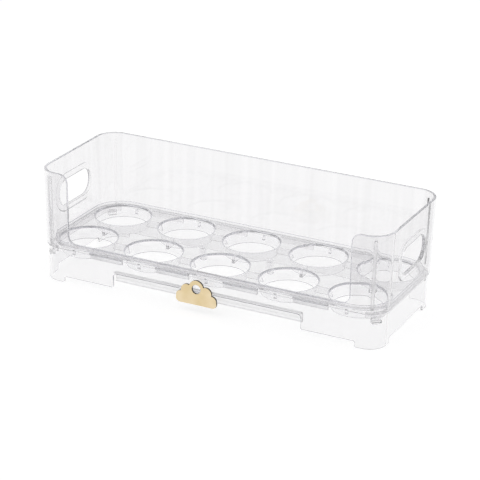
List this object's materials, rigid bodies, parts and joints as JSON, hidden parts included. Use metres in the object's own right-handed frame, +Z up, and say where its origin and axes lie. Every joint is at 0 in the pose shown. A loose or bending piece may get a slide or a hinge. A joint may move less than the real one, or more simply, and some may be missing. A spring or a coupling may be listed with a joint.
{
  "type": "egg holder",
  "caption": "Clear stackable egg holder: lift-out tray of conical open-bottomed cups, high back and ends with hand holes, skirted base with a sliding gold date marker.",
  "frame": {"origin": "centre of the overall box, on the ground plane that the feet stand on", "axes": "+X along the row of cups to the right, +Y to the high back wall, +Z up; the low front faces -Y"},
  "size_m": [0.2536, 0.0948, 0.0784],
  "materials": {
    "clear_plastic": "clear polished moulded plastic",
    "gold_marker": "satin gold plated"
  },
  "bodies": {
    "holder": {"base_skirt": "clear_plastic", "surround_wall": "clear_plastic"},
    "tray": {"egg_tray": "clear_plastic"},
    "date_marker": {"date_marker_tab": "gold_marker", "date_marker_carriage": "clear_plastic"}
  },
  "joints": [
    {"name": "egg_tray_lift", "type": "slide", "parent": "holder", "child": "tray", "axis": [0, 0, 1], "range_m": [0, 0.066]},
    {"name": "date_marker_slide", "type": "slide", "parent": "holder", "child": "date_marker", "axis": [1, 0, 0], "range_m": [-0.056, 0.067]}
  ]
}
